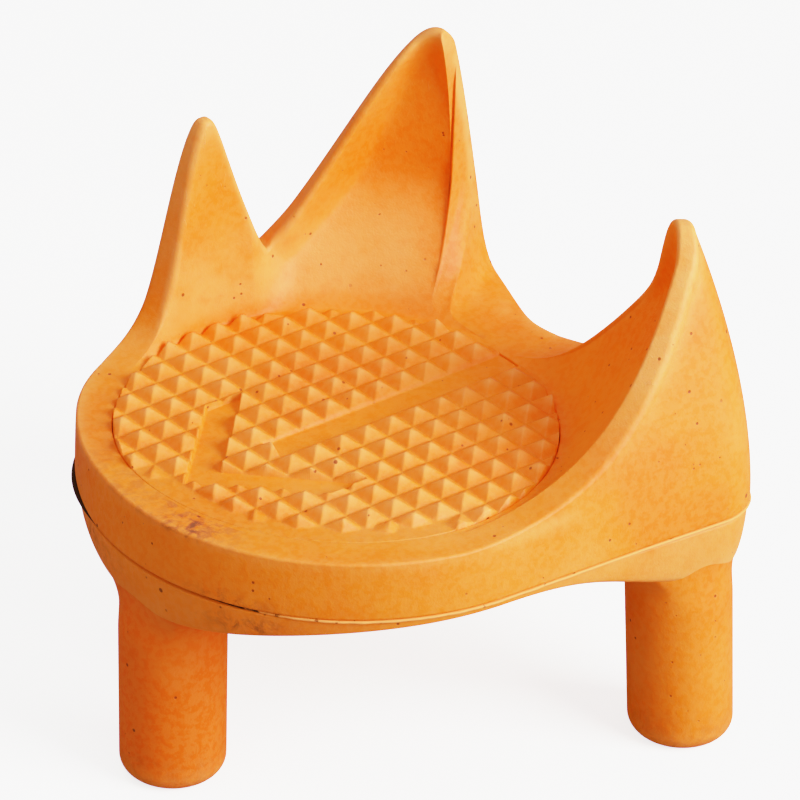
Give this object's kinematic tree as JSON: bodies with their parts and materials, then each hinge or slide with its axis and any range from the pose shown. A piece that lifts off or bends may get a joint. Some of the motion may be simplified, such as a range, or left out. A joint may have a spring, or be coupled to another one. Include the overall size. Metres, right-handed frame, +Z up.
{
  "type": "football kicking tee",
  "caption": "Low moulded-rubber stand on splayed round legs, with a round ribbed seat and pointed horns that hold an oval ball upright for a place kick.",
  "frame": {"origin": "on the ground, under the middle of the tee's bounding box", "axes": "+X from the seat towards the kicker, between the two big horns; the arrow points to -X, where the ball goes; +Z up; +Y completes the frame, on the side of the extra horn"},
  "size_m": [0.0888, 0.0902, 0.0949],
  "materials": {
    "crown": "satin",
    "tread": "satin",
    "bond_layer": "matte",
    "base": "satin"
  },
  "bodies": {
    "root": {"crown": "crown", "tread": "tread", "bond_layer": "bond_layer", "base": "base"}
  },
  "joints": []
}
